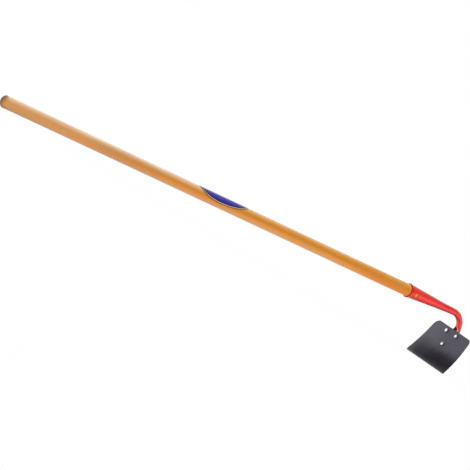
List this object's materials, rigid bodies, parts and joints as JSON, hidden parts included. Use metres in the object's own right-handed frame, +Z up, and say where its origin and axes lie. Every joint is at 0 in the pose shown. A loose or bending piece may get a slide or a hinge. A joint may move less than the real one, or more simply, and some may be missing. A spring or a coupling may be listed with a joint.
{
  "type": "garden hoe",
  "caption": "Long-handled draw hoe: round wooden handle in a red swan-neck socket, with a dished dark steel blade riveted to its palm.",
  "frame": {"origin": "on the floor, under the middle of the hoe's box, with the hoe resting on its grip end and its cutting edge", "axes": "+X from the grip end towards the head, +Z up, Y sideways along the cutting edge"},
  "size_m": [1.5382, 0.16, 0.1465],
  "materials": {
    "handle": "clear varnish over pale straight-grained ash",
    "neck": "glossy red enamel on forged steel",
    "blade": "satin dark grey lacquer on steel sheet",
    "rivets": "bright steel",
    "socket_nail": "yellow zinc plate",
    "label": "plain blue printed film with a cream rim line"
  },
  "bodies": {
    "root": {"handle": "handle", "neck": "neck", "blade": "blade", "rivet_left": "rivets", "rivet_right": "rivets", "rivet_lower": "rivets", "socket_nail": "socket_nail", "label": "label"}
  },
  "joints": []
}
